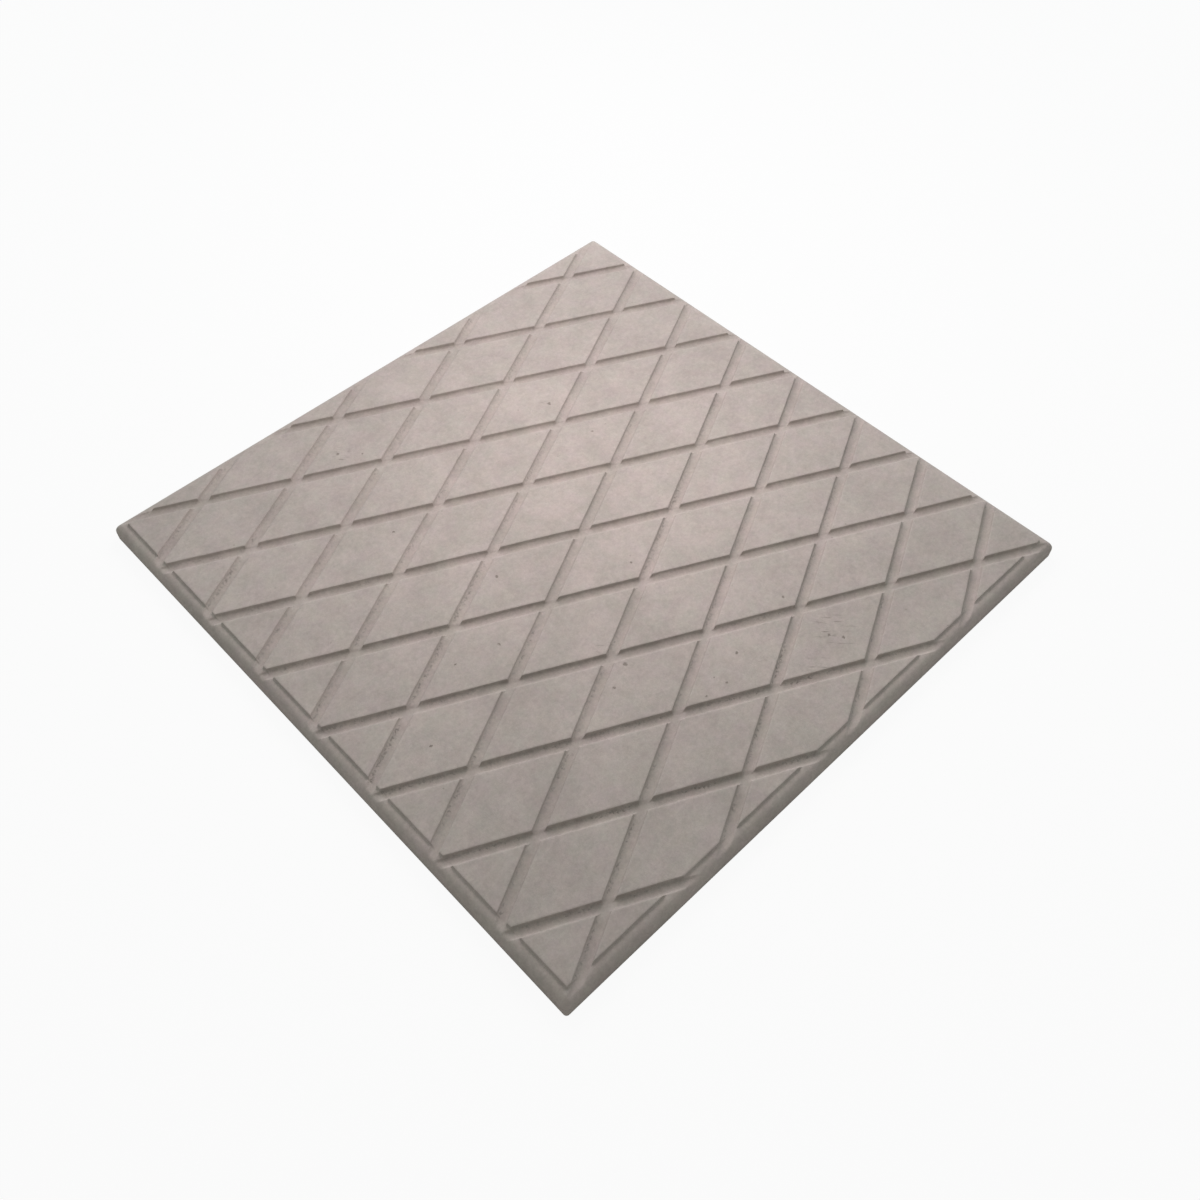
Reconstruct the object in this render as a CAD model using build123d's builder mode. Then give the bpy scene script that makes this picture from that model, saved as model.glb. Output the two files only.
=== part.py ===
"""Promenade tile: one cast concrete slab with a raised diamond tread inside a bullnosed border."""
import os
from math import atan2, ceil, cos, degrees, hypot, radians, sin, tan

from build123d import *

# Slab, millimetres: X and Y in plan, Z up from the underside
tile_length = 300.0  # side along X
tile_width = 300.0  # side along Y
tile_thickness = 10.0  # underside to tread
edge_radius = 4.5  # bullnose along the upper edges
corner_radius = 1.5  # round of the four corners, up the sides and over the bullnose
ledge_width = 1.0  # flat strip from the bullnose to the pads, at the tread

# Tread: diamond pads parted by two families of parallel grooves
tread_step = 1.25  # tread above the border's ledge
tread_root_radius = 0.3  # hollow where the tread's outer wall meets the ledge
wall_draft = 18.0  # lean of every pad wall from the vertical, degrees
diamond_length = 76.0  # diagonal along X, between groove centres
diamond_width = 38.0  # diagonal along Y, between groove centres
groove_width = 5.0  # from pad to pad, at the tread
groove_depth = 2.0  # tread to groove floor, deeper than the ledge, so grooves run out on the bullnose
groove_root_radius = 1.5  # hollow where a pad's wall runs into the groove floor

# Worked out from the sizes above
ledge_height = tile_thickness - tread_step
border_width = edge_radius + ledge_width
step_run = tread_step * tan(radians(wall_draft))
groove_run = groove_depth * tan(radians(wall_draft))
groove_angle = degrees(atan2(diamond_width, diamond_length))
groove_pitch = diamond_length * sin(radians(groove_angle))
tread_reach = (tile_length * sin(radians(groove_angle)) + tile_width * cos(radians(groove_angle))) / 2
groove_count = 2 * ceil(tread_reach / groove_pitch) + 1
cut_reach = hypot(tile_length, tile_width) / 2

with BuildPart() as promenade_tile:
    # Slab up to the ledge, its upper edges bullnosed, then its corners eased
    with BuildSketch():
        Rectangle(tile_length, tile_width)
    extrude(amount=ledge_height)
    fillet(promenade_tile.faces().sort_by(Axis.Z)[-1].edges(), edge_radius)
    corners = promenade_tile.edges().filter_by(Axis.X, reverse=True).filter_by(Axis.Y, reverse=True)
    fillet(corners, corner_radius)

    # Tread inside the border, one drafted block before the grooves part it
    with BuildSketch(Plane.XY.offset(ledge_height)):
        Rectangle(tile_length - 2 * (border_width - step_run), tile_width - 2 * (border_width - step_run))
    extrude(amount=tread_step, taper=wall_draft)
    ledge = promenade_tile.faces().filter_by(Plane.XY).sort_by(Axis.Z)[-2]
    fillet(ledge.inner_wires()[0].edges(), tread_root_radius)

    # Grooves along both diamond sides; one of each family runs through the middle of the tile
    for side in (1, -1):
        along = Vector(diamond_length, side * diamond_width)
        with BuildSketch(Plane((0, 0, tile_thickness), x_dir=along.rotate(Axis.Z, 90), z_dir=along)) as sections:
            with GridLocations(groove_pitch, groove_pitch, groove_count, 1):
                Polygon(
                    (-groove_width / 2 + groove_run, -groove_depth),
                    (groove_width / 2 - groove_run, -groove_depth),
                    (groove_width / 2 + groove_run, groove_depth),
                    (-groove_width / 2 - groove_run, groove_depth),
                )
            fillet(sections.vertices().group_by(Axis.Y)[0], groove_root_radius)
        extrude(amount=cut_reach, both=True, mode=Mode.SUBTRACT)

promenade_tile.part.label = "promenade_tile"
os.makedirs("parts", exist_ok=True)
export_step(promenade_tile.part, "parts/promenade_tile.step")
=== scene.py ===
"""Promenade tile: a cast-concrete skin over the CAD part, its material, and a plain pale studio."""

from math import ceil, cos, hypot, pi, radians, sin, sqrt, tan

import bmesh
import bpy
import numpy as np
from mathutils import Matrix, Vector, noise


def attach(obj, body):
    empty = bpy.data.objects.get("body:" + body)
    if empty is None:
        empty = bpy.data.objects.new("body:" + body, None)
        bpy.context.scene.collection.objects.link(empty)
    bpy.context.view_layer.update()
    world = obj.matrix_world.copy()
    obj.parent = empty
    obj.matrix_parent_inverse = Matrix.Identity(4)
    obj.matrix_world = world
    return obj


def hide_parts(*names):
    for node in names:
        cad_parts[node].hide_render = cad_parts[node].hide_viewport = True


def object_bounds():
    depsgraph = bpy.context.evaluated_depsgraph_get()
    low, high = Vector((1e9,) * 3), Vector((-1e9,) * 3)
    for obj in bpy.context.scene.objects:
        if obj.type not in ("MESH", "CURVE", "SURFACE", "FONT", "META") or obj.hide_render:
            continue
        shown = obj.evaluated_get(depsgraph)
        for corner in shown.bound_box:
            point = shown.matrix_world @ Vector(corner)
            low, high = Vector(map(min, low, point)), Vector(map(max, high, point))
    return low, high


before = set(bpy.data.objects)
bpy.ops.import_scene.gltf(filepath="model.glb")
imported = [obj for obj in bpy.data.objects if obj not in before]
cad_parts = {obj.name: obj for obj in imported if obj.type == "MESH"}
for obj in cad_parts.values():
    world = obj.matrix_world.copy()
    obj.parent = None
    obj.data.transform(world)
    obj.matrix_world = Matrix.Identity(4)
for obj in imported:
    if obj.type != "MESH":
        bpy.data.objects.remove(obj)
cad_low, cad_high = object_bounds()

MM = 0.001  # the skin is laid out in millimetres and scaled once, at the end

# Sizes shared with the part's source, in millimetres
tile_length, tile_width, tile_thickness = (cad_high - cad_low) / MM
EDGE_RADIUS = 4.5
CORNER_RADIUS = 1.5
LEDGE_WIDTH = 1.0
TREAD_STEP = 1.25
WALL_DRAFT = radians(18.0)
DIAMOND_LENGTH = 76.0
DIAMOND_WIDTH = 38.0
GROOVE_WIDTH = 5.0
GROOVE_DEPTH = 2.0
GROOVE_ROOT_RADIUS = 1.5

# Finer forms, in millimetres
ARRIS_EASE = 0.3  # height over which the pads' upper edges are worn round
ROOT_EASE = 0.4  # height over which the tread's outer wall runs into the ledge
HOLDING = 0.8  # distance from an edge to the line that keeps the tread flat behind it
CUT_TOLERANCE = 0.0001  # within which a point counts as lying on a cut

# Lines of the skin's mesh
PAD_LINES = 9  # across a pad, between its holding lines
ROOT_LINES = 3  # along the hollow at a groove's root
BULLNOSE_LINES = 6  # along the border's round
ARRIS_LINES = np.array([-1.0, -0.4, 0.2, 1.0])  # over an arris, as shares of its worn run

# Unevenness of the cast, in millimetres
TREAD_DIP = 0.06  # deepest hollow in a pad's top
TREAD_DIP_SPAN = 45.0
EDGE_WANDER = 0.10  # sideways drift of the pads' edges
EDGE_WANDER_SPAN = 6.0
CAST_SEED = 1  # for the drift, which would otherwise differ from run to run

# Loose dirt and painted shade, in millimetres; they rest against the walls that face the tile's front,
# where the grooves lie in shade
DIRT_AND_SHADE_START = -0.6  # from the middle of a groove, towards the wall
DIRT_AND_SHADE_CLEARING = 2.0  # kept free of dirt and painted shade beside a crossing groove
HEAP_HEIGHT = 0.45  # of the dirt at the root, on the whole
HEAP_SPAN = 9.0
FADE_START = -130.0  # places on the diagonal from front to back between which the dirt and painted shade thin out
FADE_END = 40.0

# Dirt and painted shade as shares, for the walls that face the tile's front corner and those that face its
# right side
FILM_AND_SHADE_FRONT = 1.0  # of dirt and painted shade on the walls
FILM_AND_SHADE_SIDE = 0.3
FILM_AND_SHADE_LEFT = 0.75  # of that dirt and painted shade, left at the back
FILM_AND_SHADE_DEPTH = 0.3  # of the groove's depth, below which a wall has its full film of dirt and painted shade
LEFT_FRONT = 0.1  # of the heaps' dark dirt and painted shade, left at the back
LEFT_SIDE = 0.65

# Worked out from the sizes above
half_length = tile_length / 2
half_width = tile_width / 2
lean = tan(WALL_DRAFT)
arris_run = ARRIS_EASE * lean
floor_height = tile_thickness - GROOVE_DEPTH
ledge_height = tile_thickness - TREAD_STEP
border_width = EDGE_RADIUS + LEDGE_WIDTH
step_foot = border_width - TREAD_STEP * lean
groove_edge = GROOVE_WIDTH / 2
groove_foot = groove_edge - GROOVE_DEPTH * lean
root_tangent = GROOVE_ROOT_RADIUS * tan(radians(45) - WALL_DRAFT / 2)
root_start = groove_foot - root_tangent
root_end = groove_foot + root_tangent * sin(WALL_DRAFT)
diamond_side = hypot(DIAMOND_LENGTH, DIAMOND_WIDTH)
groove_pitch = DIAMOND_LENGTH * DIAMOND_WIDTH / diamond_side
rising = np.array([-DIAMOND_WIDTH, DIAMOND_LENGTH]) / diamond_side  # across the first family of grooves
falling = np.array([DIAMOND_WIDTH, DIAMOND_LENGTH]) / diamond_side  # across the second


def lower_of(first, second, ease):
    """The lower of two heights, the edge between them eased where they are this close"""
    closeness = np.clip(ease - abs(first - second), 0, None)
    return np.minimum(first, second) - closeness**2 / (4 * ease)


def smooth_step(value, low, high):
    """0 below the low value, 1 above the high one, and an even turn between"""
    share = np.clip((value - low) / (high - low), 0, 1)
    return share * share * (3 - 2 * share)


def groove_offset(across):
    """Distance to either side of the nearest groove's middle"""
    return across - groove_pitch * np.round(across / groove_pitch)


def groove_height(across):
    """Height of the groove's section at a distance across the tile; its walls run on above the tread"""
    away = abs(groove_offset(across))
    rise = np.clip(away - root_start, 0, GROOVE_ROOT_RADIUS)
    hollow = floor_height + GROOVE_ROOT_RADIUS - np.sqrt(GROOVE_ROOT_RADIUS**2 - rise**2)
    wall = tile_thickness + (away - groove_edge) / lean
    return np.where(away < root_end, hollow, wall)


def step_height(inset):
    """Height of the tread's outer wall at a distance in from the tile's edge; it runs on above the tread"""
    return ledge_height + (inset - step_foot) / lean


def border_height(inset):
    """Height of the slab and its tread, before the grooves, at a distance in from the tile's edge"""
    short = np.clip(EDGE_RADIUS - inset, 0, EDGE_RADIUS)
    slab = ledge_height - EDGE_RADIUS + np.sqrt(EDGE_RADIUS**2 - short**2)
    tread = lower_of(np.full_like(inset, tile_thickness), step_height(inset), ARRIS_EASE)
    return -lower_of(-slab, -tread, ROOT_EASE)


def lines_across():
    """Where the lines of the skin's slanting grid lie, across one family of grooves"""
    angles = np.linspace(0, 1, ROOT_LINES + 2) * (radians(90) - WALL_DRAFT)
    root = root_start + GROOVE_ROOT_RADIUS * np.sin(angles)
    edge = groove_edge + arris_run * ARRIS_LINES
    half = np.concatenate([[0], root, edge, [groove_edge + HOLDING]])
    pad = np.linspace(groove_edge + HOLDING, groove_pitch - groove_edge - HOLDING, PAD_LINES + 2)[1:-1]
    period = np.concatenate([-half[:0:-1], half, pad])
    reach = half_length * abs(rising[0]) + half_width * rising[1]
    count = ceil(reach / groove_pitch)
    return np.concatenate([period + step * groove_pitch for step in range(-count, count + 1)])


def slanting_grid():
    """Triangles between lines along both families of grooves, wherever they touch the tile"""
    lines = lines_across()
    first, second = np.meshgrid(lines, lines, indexing="ij")
    x = (second - first) / (2 * falling[0])
    y = (second + first) / (2 * falling[1])
    corner_x, corner_y = (np.stack([v[:-1, :-1], v[:-1, 1:], v[1:, 1:], v[1:, :-1]]) for v in (x, y))
    inside = (abs(corner_x).min(0) < half_length) & (abs(corner_y).min(0) < half_width)

    # Each cell is parted along the diagonal that suits the side of the groove it lies on
    middles = (lines[:-1] + lines[1:]) / 2
    side = np.sign(np.sin(2 * np.pi * middles / groove_pitch))
    number = np.arange(x.size).reshape(x.shape)
    triangles = []
    for row, column in np.argwhere(inside):
        a, b = number[row, column], number[row, column + 1]
        c, d = number[row + 1, column + 1], number[row + 1, column]
        if side[row] * side[column] > 0:
            triangles += [(a, b, c), (a, c, d)]
        else:
            triangles += [(a, b, d), (b, c, d)]

    # Only the points in use are kept
    used = np.unique(triangles)
    renumbered = np.full(x.size, -1)
    renumbered[used] = np.arange(len(used))
    places = np.column_stack([x.ravel()[used], y.ravel()[used], np.zeros(len(used))])
    return places, renumbered[np.array(triangles)]


def border_lines():
    """Distances in from the tile's edge at which the skin has lines of its own"""
    turn = np.linspace(0, radians(90), BULLNOSE_LINES + 1)[1:]
    bullnose = EDGE_RADIUS * (1 - np.cos(turn))
    step = np.array([step_foot - ROOT_EASE, step_foot - arris_run / 2, step_foot + arris_run])
    edge = border_width + arris_run * ARRIS_LINES
    return np.concatenate([bullnose, step, edge, [border_width + HOLDING]])


def cut_to_border(skin):
    """Trims the grid to the tile's sides and parts it along the border's lines"""
    for axis, half in ((Vector((1, 0, 0)), half_length), (Vector((0, 1, 0)), half_width)):
        for way in (axis, -axis):
            for inset in (0, *border_lines()):
                everything = skin.verts[:] + skin.edges[:] + skin.faces[:]
                bmesh.ops.bisect_plane(
                    skin,
                    geom=everything,
                    dist=CUT_TOLERANCE,
                    plane_co=way * (half - inset),
                    plane_no=way,
                    clear_outer=bool(inset == 0),
                )


def dirt_and_shade_share(offset, other_offset):
    """How much dirt and painted shade lie at one groove's root, none where the other groove crosses"""
    floor_share = smooth_step(offset, DIRT_AND_SHADE_START, groove_foot)
    wall_share = 1 - smooth_step(offset, groove_foot, groove_edge)
    crossing_share = smooth_step(abs(other_offset), groove_foot, groove_edge + DIRT_AND_SHADE_CLEARING)
    return floor_share * wall_share * crossing_share


def film_and_shade_share(offset, faded):
    """How much dirt and painted shade cover one groove's wall: down to the root, or only high up where they
    have faded
    """
    low = root_start + faded * root_tangent
    high = groove_foot + faded * (root_end - groove_foot)
    top_share = 1 - smooth_step(offset, groove_edge, groove_edge + ARRIS_EASE)
    return smooth_step(offset, low, high) * top_share


def lying_dirt_and_shade(plan, deep):
    """Shares of the heaps at the grooves' roots, of their dark dirt and painted shade, and of the film of
    dirt and painted shade on the walls above
    """
    first = groove_offset(plan @ rising)
    second = groove_offset(plan @ falling)
    faded = smooth_step(plan.sum(axis=1) / sqrt(2), FADE_START, FADE_END)
    side_heaps = dirt_and_shade_share(first, second) * deep
    front_heaps = dirt_and_shade_share(second, first) * deep
    side_dark = side_heaps * (1 - (1 - LEFT_SIDE) * faded)
    front_dark = front_heaps * (1 - (1 - LEFT_FRONT) * faded)
    film_and_shade = np.maximum(FILM_AND_SHADE_SIDE * film_and_shade_share(first, faded), FILM_AND_SHADE_FRONT * film_and_shade_share(second, faded))
    film_and_shade *= smooth_step(deep, 0.0, FILM_AND_SHADE_DEPTH) * (1 - (1 - FILM_AND_SHADE_LEFT) * faded)
    return np.maximum(side_heaps, front_heaps), np.maximum(side_dark, front_dark), film_and_shade


def eased_corners(x, y):
    """Plan points drawn in at the tile's corners, and each one's distance in from the edge"""
    gap_x = half_length - abs(x)
    gap_y = half_width - abs(y)
    inset = np.minimum(gap_x, gap_y)
    apart = np.clip(abs(gap_x - gap_y), 0, CORNER_RADIUS)
    pull = CORNER_RADIUS - apart / 2 - np.sqrt(2 * CORNER_RADIUS**2 - apart**2) / 2
    pull *= 1 - smooth_step(inset, EDGE_RADIUS / 2, EDGE_RADIUS)
    return np.column_stack([x - np.sign(x) * pull, y - np.sign(y) * pull]), inset


def shape(places):
    """Skin points at their heights, their insets and heaps, how worn each one is, and how much dirt and
    painted shade it has
    """
    plan, inset = eased_corners(places[:, 0], places[:, 1])
    grooves = lower_of(groove_height(plan @ rising), groove_height(plan @ falling), ARRIS_EASE)
    border = border_height(inset)
    height = lower_of(border, grooves, ARRIS_EASE)
    walls = np.minimum(grooves, step_height(inset))
    worn = np.clip(1 - abs(walls - tile_thickness) / ARRIS_EASE, 0, 1)
    deep = np.clip((border - height) / GROOVE_DEPTH, 0, 1)
    heaps, dark, film_and_shade = lying_dirt_and_shade(plan, deep)
    shares = {"arris": worn, "dirt_and_shade": dark, "film_and_shade": film_and_shade}
    return np.column_stack([plan, height]), inset, heaps, shares


def uneven(points, inset, heaps):
    """Points moved as the cast wanders and the dirt lies; pads only sink, and the tile's sides stay put"""
    freedom = smooth_step(inset, 0.0, EDGE_RADIUS)
    moved = []
    for point, free, heaped in zip(points, freedom, heaps):
        plan = Vector((point[0], point[1], 0))
        drift = noise.noise_vector(Vector(point) / EDGE_WANDER_SPAN) * EDGE_WANDER * free
        dip = TREAD_DIP * (0.5 + 0.5 * noise.noise(plan / TREAD_DIP_SPAN)) * free
        heap = HEAP_HEIGHT * (1 + noise.noise(plan / HEAP_SPAN)) * heaped
        moved.append((point[0] + drift.x, point[1] + drift.y, point[2] - dip + heap))
    return moved


def tile_skin():
    """The whole skin: shaped top, plain sides and a flat underside"""
    mesh = bpy.data.meshes.new("tile_skin")
    places, triangles = slanting_grid()
    mesh.from_pydata(places.tolist(), [], triangles.tolist())
    skin = bmesh.new()
    skin.from_mesh(mesh)
    cut_to_border(skin)
    places = np.array([vertex.co for vertex in skin.verts], dtype=float)
    points, inset, heaps, shares = shape(places)
    for vertex, point in zip(skin.verts, uneven(points, inset, heaps)):
        vertex.co = Vector(point) * MM
    for name, share in shares.items():
        layer = skin.verts.layers.float.new(name)
        for vertex, value in zip(skin.verts, share):
            vertex[layer] = value
    rim = [edge for edge in skin.edges if edge.is_boundary]
    sides = bmesh.ops.extrude_edge_only(skin, edges=rim)["geom"]
    for element in sides:
        if isinstance(element, bmesh.types.BMVert):
            element.co.z = 0
    lower_rim = [edge for edge in sides if isinstance(edge, bmesh.types.BMEdge) and edge.is_boundary]
    bmesh.ops.edgeloop_fill(skin, edges=lower_rim)
    bmesh.ops.recalc_face_normals(skin, faces=skin.faces)
    for face in skin.faces:
        face.smooth = True
    for edge in lower_rim:
        edge.smooth = False
    skin.to_mesh(mesh)
    skin.free()
    return mesh


noise.seed_set(CAST_SEED)
skin_mesh = tile_skin()
tile = bpy.data.objects.new("tile_skin", skin_mesh)
bpy.context.scene.collection.objects.link(tile)
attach(tile, "root")
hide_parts("promenade_tile")


# Concrete, as linear colours
CONCRETE_PINK = (0.456, 0.391, 0.371, 1)
CONCRETE_GREY = (0.439, 0.399, 0.361, 1)
CONCRETE_BUFF = (0.467, 0.395, 0.347, 1)
WORN_COLOUR = (0.55, 0.49, 0.46, 1)
# The dust and dirt colours also paint shade in the grooves, beside the walls that face the front
DUST_AND_SHADE_COLOUR = (0.32, 0.305, 0.29, 1)
DIRT_AND_SHADE_COLOUR = (0.21, 0.18, 0.16, 1)
PIT_COLOUR = (0.26, 0.225, 0.20, 1)
SCUFF_COLOUR = (0.22, 0.19, 0.17, 1)
ROUGHNESS = (0.84, 0.96)
SPECULAR_LEVEL = 0.25

# Soft noises in the concrete: span of their patches in millimetres, detail and roughness
GRAIN = (0.5, 3, 0.6)
CRUMBS = (1.2, 3, 0.7)
SPECKLE = (1.8, 3, 0.9)
RIPPLE = (3, 3, 0.5)
FILM_AND_SHADE_PATCHES = (3, 2, 0.5)
WEAR_PATCHES = (4, 2, 0.5)
WARMTH = (9, 4, 0.8)
BLUSH = (12, 4, 0.8)
MOTTLE = (26, 6, 0.88)
DIRT_AND_SHADE_PATCHES = (30, 2, 0.5)
PINHOLE_PATCHES = (60, 1, 0.5)
CLOUDING = (70, 1, 0.5)

# Parts of a noise's range that are laid over the range it is used in
NARROW = (0.38, 0.62)
MIDDLE = (0.35, 0.65)
WIDE = (0.3, 0.7)

# How strongly they show
MOTTLE_CONTRAST = 0.09
SPECKLE_CONTRAST = 0.065
CLOUDING_CONTRAST = 0.02
BUFF_SHARE = 0.3
WEAR_SHARES = (0.2, 0.9)

# Dirt in the grooves, and the painted shade that goes with it
DUST_AND_SHADE_CRUMBS = (0.43, 0.6)
DUST_AND_SHADE_SHARE = 0.5
CRUMB_SWING = (-0.6, 0.6)  # of the heaps' dark, from crumb to crumb
PATCH_SWING = (-0.5, 0.3)  # and from patch to patch
DARK_RANGE = (0.75, 1.4)  # between which the heaps turn dark with dirt and painted shade
DARK_SHARE = 0.55
FILM_AND_SHADE_SHARES = (0.12, 0.45)

# Marks on the tread, as places in plan and a radius, millimetres
PITS = (
    (-36, -63.5, 1.05), (-47.5, -68.5, 0.75), (-23, -97.5, 0.5), (1.5, -91.5, 0.6), (-12, -98.5, 0.65),
    (-14, -93.5, 0.5), (43.5, 70, 1.05), (-51, 114, 0.9), (-42.5, 106, 0.55), (40, -117.5, 0.85),
    (36.5, -112.5, 0.7), (-87, -15, 0.75), (-67, -20, 0.75), (-44.5, 7.5, 0.7), (46, 42, 0.7),
    (-118.5, -38, 0.65), (3.5, -27.5, 0.6), (37.5, -86, 0.6), (-61.5, 58.5, 0.6),
)
SCUFFS = ((-50, 113, 6), (43, 71, 4), (40, -112, 12), (22, -120, 7), (-36, -52, 5))
RAGGED = 0.35  # how far a mark's outline wanders
MARK_CORE = 0.5  # share of a mark's radius within which it is full
SCUFF_TURN = radians(45)  # brings the way the scuffs run onto the X axis
SCUFF_STRETCH = 0.18
STREAK_SPAN = 1.1
STREAK_RANGE = (0.57, 0.73)
SCUFF_SHARE = 0.75
PINHOLE_CELL = 6.0  # one pinhole at most in each cell of this size
PINHOLE_RADII = (0.03, 0.085)  # of its full part and of its whole, in cells
PINHOLE_CHOICE = 0.66  # the higher, the fewer cells have one
PINHOLE_ZONE = (0.5, 0.6)
PINHOLE_SHARE = 0.6

# Heights of the fine relief, in millimetres
GRAIN_RELIEF = 0.06
RIPPLE_RELIEF = 0.06
CRUMB_RELIEF = 0.3
MARK_DEPTH = 0.1


def add_node(kind, settings=None, **inputs):
    """Adds a node to the tree in hand, with each input either set to a value or linked to a socket"""
    node = tree.nodes.new(kind)
    for name, value in (settings or {}).items():
        setattr(node, name, value)
    for name, value in inputs.items():
        feed(node.inputs[name.replace("_", " ")], value)
    return node


def feed(socket, value):
    """Links a socket to an input, or sets the input's value"""
    if isinstance(value, bpy.types.NodeSocket):
        tree.links.new(value, socket)
    else:
        socket.default_value = value


def blended(share, first, second):
    """Colour that goes from the first to the second as the share goes from 0 to 1"""
    node = add_node("ShaderNodeMix", {"data_type": "RGBA"})
    feed(node.inputs[0], share)
    feed(node.inputs[6], first)
    feed(node.inputs[7], second)
    return node.outputs[2]


def stretched(value, low, high, out_low=0.0, out_high=1.0):
    """A value's range from low to high laid over another range, and held at its ends"""
    ends = {"From_Min": low, "From_Max": high, "To_Min": out_low, "To_Max": out_high}
    return add_node("ShaderNodeMapRange", Value=value, **ends).outputs["Result"]


def combined(operation, first, second):
    """Two values added, multiplied or compared"""
    node = add_node("ShaderNodeMath", {"operation": operation})
    feed(node.inputs[0], first)
    feed(node.inputs[1], second)
    return node.outputs[0]


def shaded(colour, factor):
    """A colour made lighter or darker by a factor"""
    node = add_node("ShaderNodeVectorMath", {"operation": "SCALE"}, Vector=colour, Scale=factor)
    return node.outputs["Vector"]


def cloud(span, detail, roughness):
    """Soft noise whose patches are about this many millimetres across"""
    grain_size = {"Scale": 1 / (span * MM), "Detail": detail, "Roughness": roughness}
    return add_node("ShaderNodeTexNoise", Vector=position, **grain_size).outputs["Fac"]


def varied(span_and_detail, contrast, middle_range):
    """Soft noise as a factor around 1"""
    return stretched(cloud(*span_and_detail), *middle_range, 1 - contrast, 1 + contrast)


def share_of(name):
    """One of the shares kept on the skin's points"""
    return add_node("ShaderNodeAttribute", {"attribute_name": name}).outputs["Fac"]


def near(mark):
    """1 within a mark, going to 0 at its ragged outline"""
    x, y, radius = mark
    gap = add_node("ShaderNodeVectorMath", {"operation": "DISTANCE"})
    feed(gap.inputs[0], position)
    feed(gap.inputs[1], Vector((x, y, tile_thickness)) * MM)
    wandering = combined("ADD", gap.outputs["Value"], raggedness)
    return stretched(wandering, MARK_CORE * radius * MM, radius * MM, 1.0, 0.0)


def any_of(marks):
    """The largest share of several marks"""
    shares = [near(mark) for mark in marks]
    result = shares[0]
    for share in shares[1:]:
        result = combined("MAXIMUM", result, share)
    return result


concrete = bpy.data.materials.new("concrete")
concrete.use_nodes = True
tree = concrete.node_tree
shader = tree.nodes["Principled BSDF"]
position = add_node("ShaderNodeTexCoord").outputs["Object"]

# Tone and hue of the cast
grain = cloud(*GRAIN)
mottle = varied(MOTTLE, MOTTLE_CONTRAST, NARROW)
speckle = varied(SPECKLE, SPECKLE_CONTRAST, MIDDLE)
clouding = varied(CLOUDING, CLOUDING_CONTRAST, WIDE)
tone = combined("MULTIPLY", combined("MULTIPLY", mottle, speckle), clouding)
blush = stretched(cloud(*BLUSH), *NARROW)
warmth = stretched(cloud(*WARMTH), *NARROW, 0.0, BUFF_SHARE)
colour = blended(blush, CONCRETE_GREY, CONCRETE_PINK)
colour = shaded(blended(warmth, colour, CONCRETE_BUFF), tone)

# Grooves: dust along the roots, and darker dirt heaped on it in places; both also paint the shade beside
# the walls that face the front
crumbs = cloud(*CRUMBS)
dirt_and_shade_reach = share_of("dirt_and_shade")
dust_and_shade = combined("MULTIPLY", dirt_and_shade_reach, stretched(crumbs, *DUST_AND_SHADE_CRUMBS, 0.0, DUST_AND_SHADE_SHARE))
colour = blended(dust_and_shade, colour, DUST_AND_SHADE_COLOUR)
crumbling = stretched(crumbs, *MIDDLE, *CRUMB_SWING)
patching = stretched(cloud(*DIRT_AND_SHADE_PATCHES), *WIDE, *PATCH_SWING)
# Dark of the heaps: dirt and painted shade together
heaped = combined("ADD", dirt_and_shade_reach, combined("ADD", crumbling, patching))
# Film of dirt and painted shade on the walls that face the front
film_and_shade = combined("MULTIPLY", share_of("film_and_shade"), stretched(cloud(*FILM_AND_SHADE_PATCHES), *WIDE, *FILM_AND_SHADE_SHARES))
dirt_and_shade = combined("MAXIMUM", film_and_shade, stretched(heaped, *DARK_RANGE, 0.0, DARK_SHARE))
colour = blended(dirt_and_shade, colour, DIRT_AND_SHADE_COLOUR)

# Worn arrises
worn = combined("MULTIPLY", share_of("arris"), stretched(cloud(*WEAR_PATCHES), *MIDDLE, *WEAR_SHARES))
colour = blended(worn, colour, WORN_COLOUR)

# Pits and pinholes
raggedness = stretched(crumbs, *MIDDLE, -RAGGED * MM, RAGGED * MM)
cells = add_node("ShaderNodeTexVoronoi", Vector=position, Scale=1 / (PINHOLE_CELL * MM))
chosen = combined("GREATER_THAN", cells.outputs["Color"], PINHOLE_CHOICE)
hole = stretched(cells.outputs["Distance"], *PINHOLE_RADII, PINHOLE_SHARE, 0.0)
zone = stretched(cloud(*PINHOLE_PATCHES), *PINHOLE_ZONE)
pinhole = combined("MULTIPLY", combined("MULTIPLY", chosen, hole), zone)
pit = combined("MAXIMUM", pinhole, any_of(PITS))
colour = blended(pit, colour, PIT_COLOUR)

# Scuffs, streaked along one direction
turned = add_node("ShaderNodeVectorRotate", {"rotation_type": "Z_AXIS"}, Vector=position, Angle=SCUFF_TURN)
drawn_out = add_node("ShaderNodeVectorMath", {"operation": "MULTIPLY"})
feed(drawn_out.inputs[0], turned.outputs["Vector"])
feed(drawn_out.inputs[1], (SCUFF_STRETCH, 1, 1))
streaks = add_node("ShaderNodeTexNoise", Vector=drawn_out.outputs["Vector"], Scale=1 / (STREAK_SPAN * MM))
streak = stretched(streaks.outputs["Fac"], *STREAK_RANGE, 0.0, SCUFF_SHARE)
scuff = combined("MULTIPLY", any_of(SCUFFS), streak)
colour = blended(scuff, colour, SCUFF_COLOUR)

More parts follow.
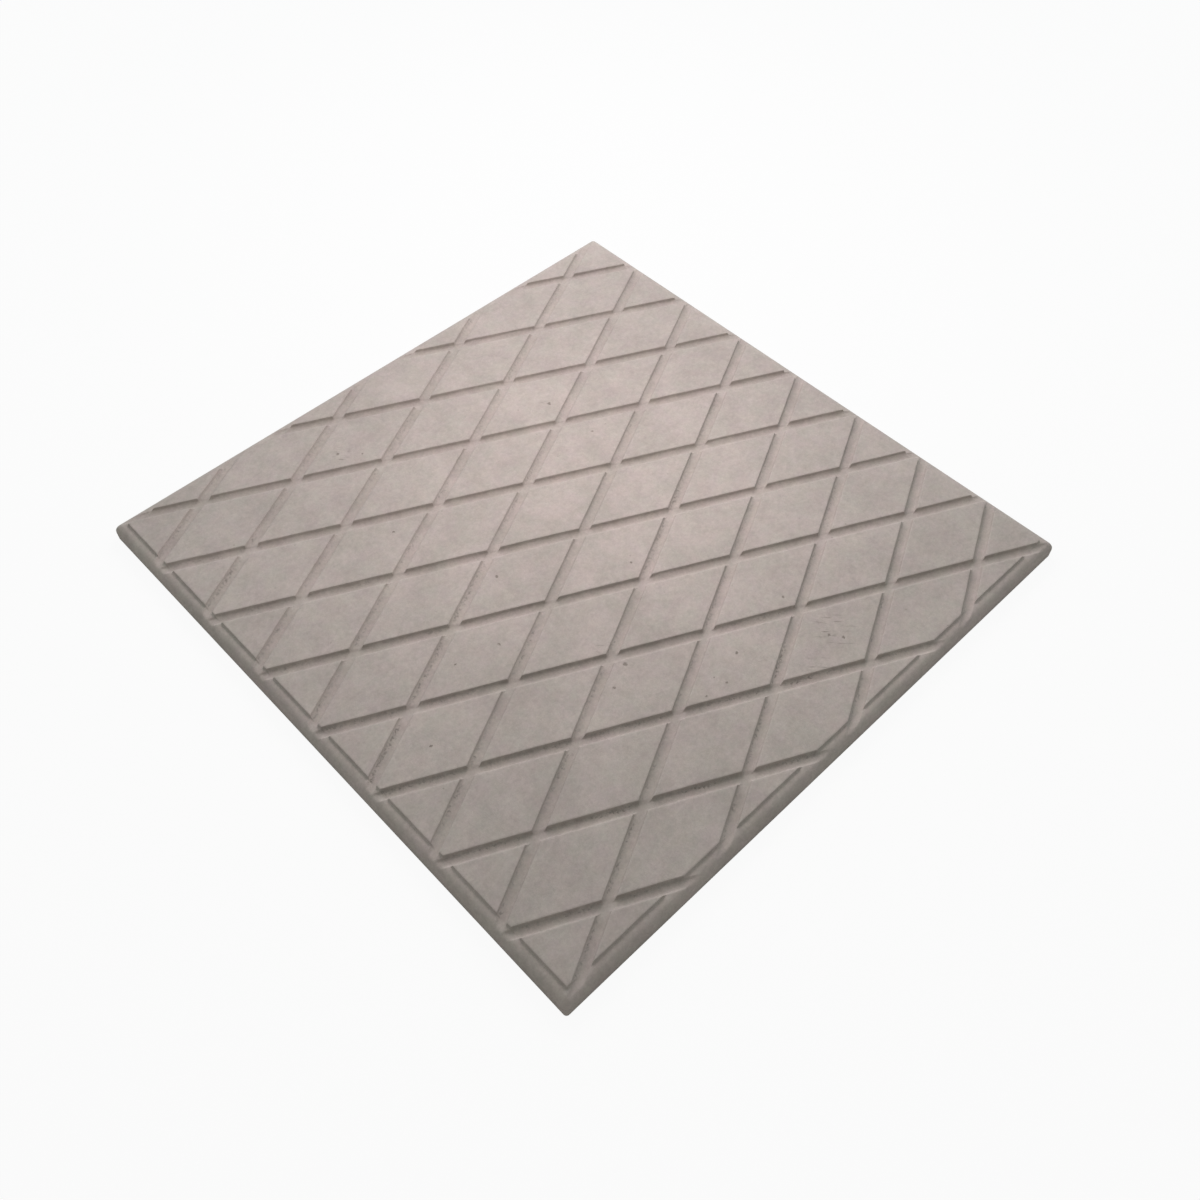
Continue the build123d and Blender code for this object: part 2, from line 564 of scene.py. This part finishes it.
# Fine relief
rough_grain = stretched(grain, 0, 1, 0, GRAIN_RELIEF)
ripple = stretched(cloud(*RIPPLE), 0, 1, 0, RIPPLE_RELIEF)
crumb_relief = combined("MULTIPLY", dirt_and_shade, stretched(crumbs, *WIDE, 0.0, CRUMB_RELIEF))
mark_relief = combined("MULTIPLY", combined("MAXIMUM", pit, scuff), MARK_DEPTH)
relief = combined("ADD", combined("ADD", rough_grain, ripple), crumb_relief)
relief = combined("SUBTRACT", relief, mark_relief)
bump = add_node("ShaderNodeBump", Height=relief, Strength=1.0, Distance=MM)

feed(shader.inputs["Base Color"], colour)
feed(shader.inputs["Roughness"], stretched(grain, *WIDE, *ROUGHNESS))
feed(shader.inputs["Specular IOR Level"], SPECULAR_LEVEL)
feed(shader.inputs["Normal"], bump.outputs["Normal"])
skin_mesh.materials.append(concrete)


# Floor: white to the camera, pale to every other ray, with the tile's shadow kept
WHITE = (1, 1, 1, 1)
FLOOR_COLOUR = (0.7, 0.7, 0.7, 1)
FLOOR_WHITENESS = 0.93  # the rest of what the camera sees is the lit floor, with the shadow
FLOOR_REACH = 3.0
FLOOR_GAP = 0.0001


def white_to_camera(plain, white, share):
    """A plain shader for every ray but the camera's, which sees this share of the white one"""
    rays = add_node("ShaderNodeLightPath")
    seen = add_node("ShaderNodeMixShader")
    feed(seen.inputs[0], stretched(rays.outputs["Is Camera Ray"], 0, 1, 0, share))
    feed(seen.inputs[1], plain.outputs[0])
    feed(seen.inputs[2], white.outputs[0])
    return seen.outputs[0]


ways = ((-1, -1), (1, -1), (1, 1), (-1, 1))
floor_corners = [(x * FLOOR_REACH, y * FLOOR_REACH, -FLOOR_GAP) for x, y in ways]
floor_mesh = bpy.data.meshes.new("floor")
floor_mesh.from_pydata(floor_corners, [], [(0, 1, 2, 3)])
floor = bpy.data.objects.new("floor", floor_mesh)
bpy.context.scene.collection.objects.link(floor)
floor_material = bpy.data.materials.new("floor")
floor_material.use_nodes = True
tree = floor_material.node_tree
tree.nodes.clear()
pale = add_node("ShaderNodeBsdfDiffuse", Color=FLOOR_COLOUR)
glow = add_node("ShaderNodeEmission", Color=WHITE, Strength=1.0)
add_node("ShaderNodeOutputMaterial", Surface=white_to_camera(pale, glow, FLOOR_WHITENESS))
floor_mesh.materials.append(floor_material)

# Light: a small soft lamp overhead, a larger one behind, two far wings beside it, and an even surround
TILE_TOP = (0, 0, 0.01)
WING_REACH = 1.039
WING_HEIGHT = 0.61
SURROUND = (0.376, 0.386, 0.370, 1)


def soft_lamp(name, place, aim, size, brightness, colour):
    """A square lamp turned to a point, its power worked out from the brightness of its face"""
    lamp_data = bpy.data.lights.new(name, "AREA")
    lamp_data.shape = "SQUARE"
    lamp_data.size = size
    lamp_data.energy = brightness * pi * size**2
    lamp_data.color = colour
    lamp = bpy.data.objects.new(name, lamp_data)
    lamp.location = place
    lamp.rotation_euler = (Vector(aim) - Vector(place)).to_track_quat("-Z", "Y").to_euler()
    lamp.visible_camera = False
    bpy.context.scene.collection.objects.link(lamp)


soft_lamp(
    "overhead",
    place=(0.03, 0.03, 0.19),
    aim=(0.03, 0.03, 0),
    size=0.075,
    brightness=7.3,
    colour=(1.0, 0.875, 0.867),
)
soft_lamp(
    "behind",
    place=(0.24, 0.24, 0.349),
    aim=TILE_TOP,
    size=0.21,
    brightness=6.4,
    colour=(1.0, 0.92, 0.96),
)
wings = {"wing_x": (WING_REACH, 0, WING_HEIGHT), "wing_y": (0, WING_REACH, WING_HEIGHT)}
for wing, wing_place in wings.items():
    soft_lamp(wing, place=wing_place, aim=TILE_TOP, size=0.54, brightness=2.95, colour=(0.82, 0.955, 1.0))

world = bpy.data.worlds.new("surround")
bpy.context.scene.world = world
world.use_nodes = True
tree = world.node_tree
tree.nodes.clear()
even = add_node("ShaderNodeBackground", Color=SURROUND, Strength=1.0)
backdrop = add_node("ShaderNodeBackground", Color=WHITE, Strength=1.0)
add_node("ShaderNodeOutputWorld", Surface=white_to_camera(even, backdrop, 1.0))

# Camera at the photo's viewing angle
CAMERA_PLACE = (-0.2335, -0.2502, 0.4271)
CAMERA_AZIMUTH = radians(45.637)  # of the way it looks, from X towards Y
CAMERA_ELEVATION = radians(53.884)  # of the camera above the horizon
CAMERA_ROLL = radians(0.567)
CAMERA_LENS = 36.04
CAMERA_SENSOR = 36.0
camera_data = bpy.data.cameras.new("camera")
camera_data.sensor_width = CAMERA_SENSOR
camera_data.lens = CAMERA_LENS
camera = bpy.data.objects.new("camera", camera_data)
look = Vector((
    cos(CAMERA_AZIMUTH) * cos(CAMERA_ELEVATION),
    sin(CAMERA_AZIMUTH) * cos(CAMERA_ELEVATION),
    -sin(CAMERA_ELEVATION),
))
facing = look.to_track_quat("-Z", "Y").to_matrix().to_4x4()
camera.matrix_world = Matrix.Translation(CAMERA_PLACE) @ facing @ Matrix.Rotation(CAMERA_ROLL, 4, "Z")
bpy.context.scene.collection.objects.link(camera)
bpy.context.scene.camera = camera

bpy.context.scene.view_settings.view_transform = "Standard"

bpy.context.view_layer.update()
